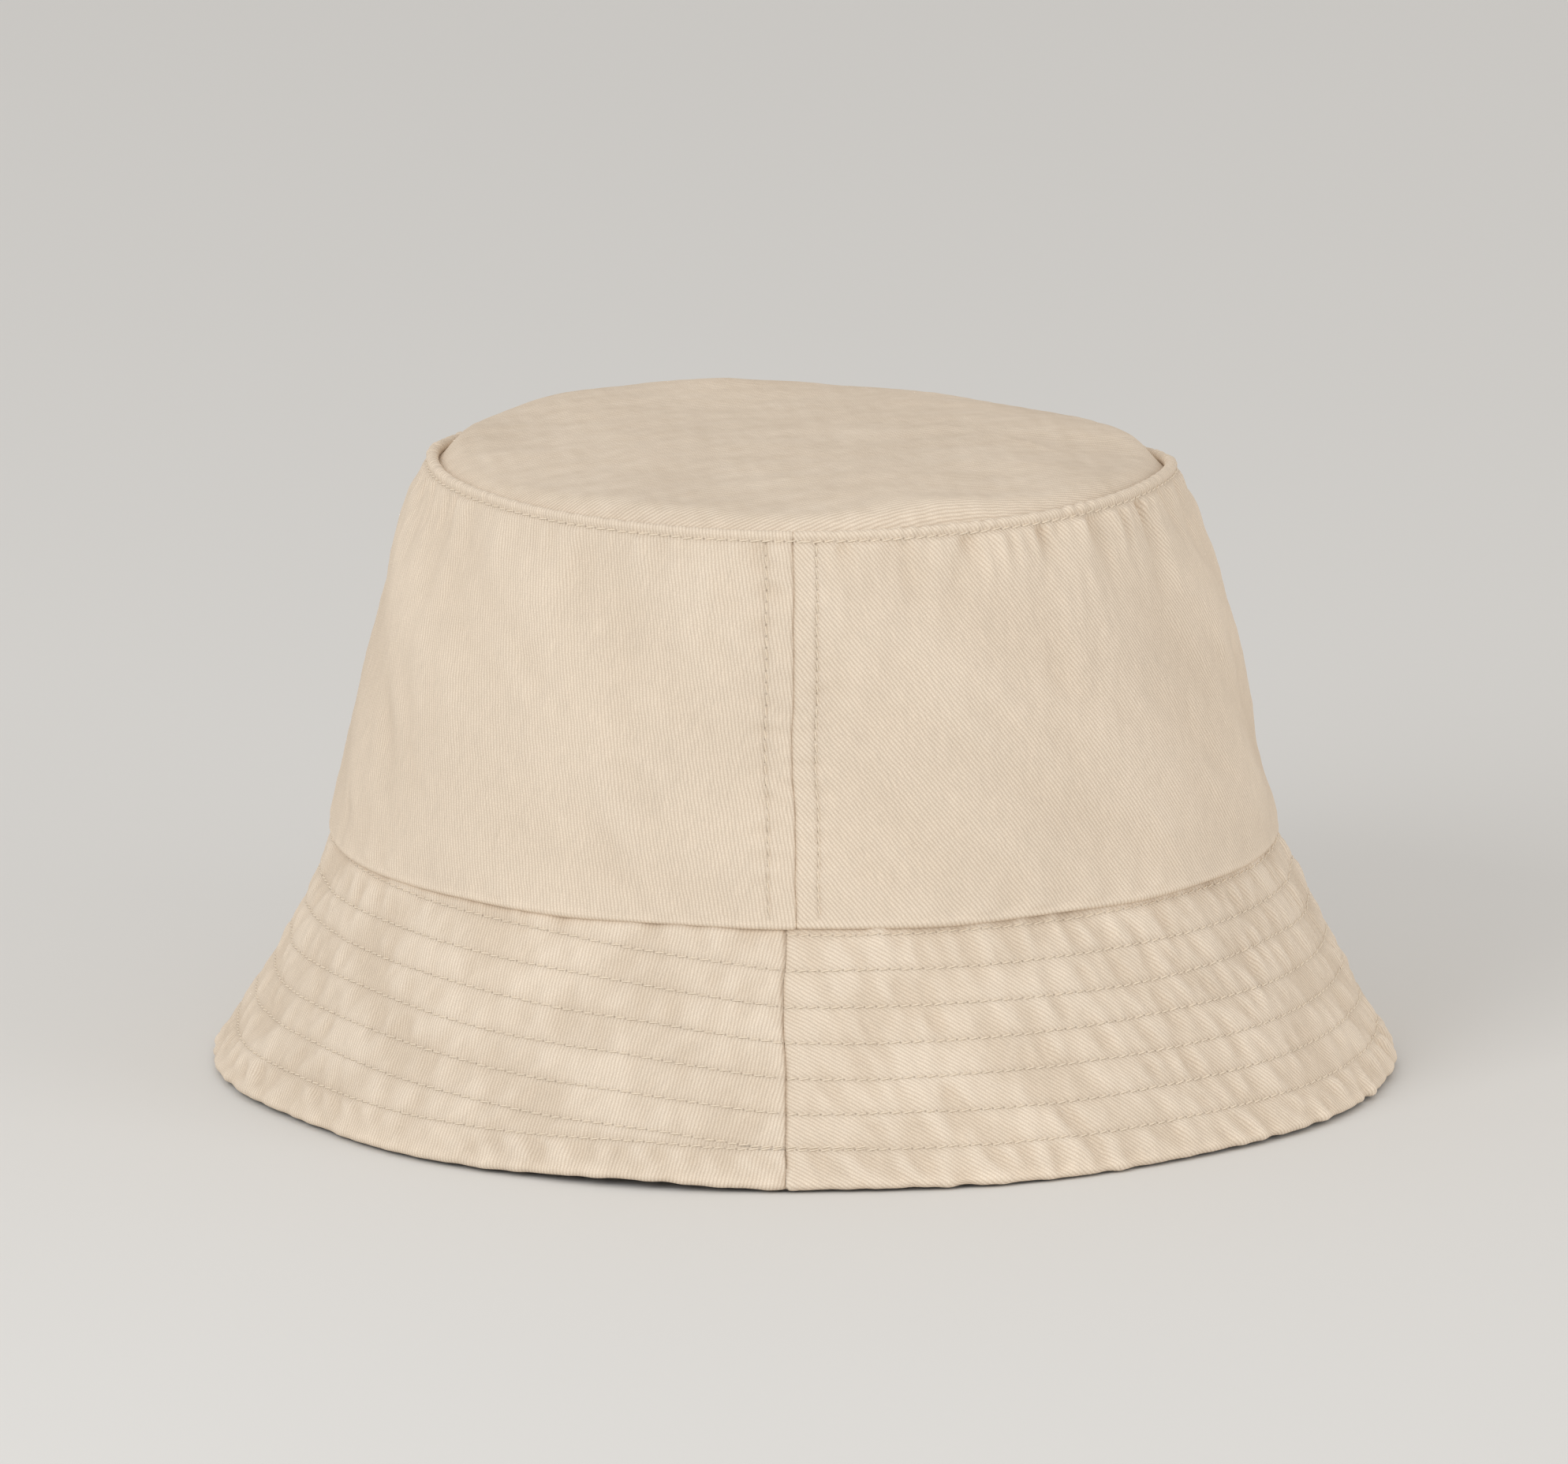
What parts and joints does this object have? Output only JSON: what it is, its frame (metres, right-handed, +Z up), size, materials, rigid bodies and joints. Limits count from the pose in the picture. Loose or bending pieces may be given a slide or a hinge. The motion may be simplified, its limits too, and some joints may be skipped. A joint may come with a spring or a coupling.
{
  "type": "bucket hat",
  "caption": "Soft cotton twill bucket hat with a flat oval crown, a sloping brim stiffened by a spiral of stitching, and a sweatband inside.",
  "frame": {"origin": "on the ground, under the middle of the crown", "axes": "+X to the front of the hat, +Y to the wearer's left, +Z up"},
  "size_m": [0.2542, 0.2262, 0.1374],
  "materials": {
    "twill": "washed cotton twill, undyed beige, matte",
    "tape": "plain-woven cotton bias tape, matte",
    "interlining": "stiff white woven interlining",
    "sweatband": "washed cotton twill, softer and smoother than the outside",
    "label": "blank satin-woven ribbon",
    "thread": "twisted cotton-wrapped sewing thread, slight sheen"
  },
  "bodies": {
    "hat": {"crown_tip": "twill", "crown_side_front": "twill", "crown_side_back": "twill", "brim_top_front": "twill", "brim_top_back": "twill", "brim_under_front": "twill", "brim_under_back": "twill", "crown_edge_tape": "tape", "side_seam_tape_right": "tape", "side_seam_tape_left": "tape", "brim_interlining_front": "interlining", "brim_interlining_back": "interlining", "sweatband": "sweatband", "main_label": "label", "crown_edge_stitch": "thread", "sweatband_stitch": "thread", "side_seam_stitch_right_front": "thread", "side_seam_stitch_right_back": "thread", "side_seam_stitch_left_front": "thread", "side_seam_stitch_left_back": "thread", "brim_spiral_stitch": "thread"},
    "care_label": {"care_label": "label"}
  },
  "joints": [
    {"name": "care_label_swing", "type": "hinge", "parent": "hat", "child": "care_label", "pos_m": [-0.08195, 0, 0.1239], "axis": [0, -1, 0], "range_deg": [-16, 95]}
  ]
}
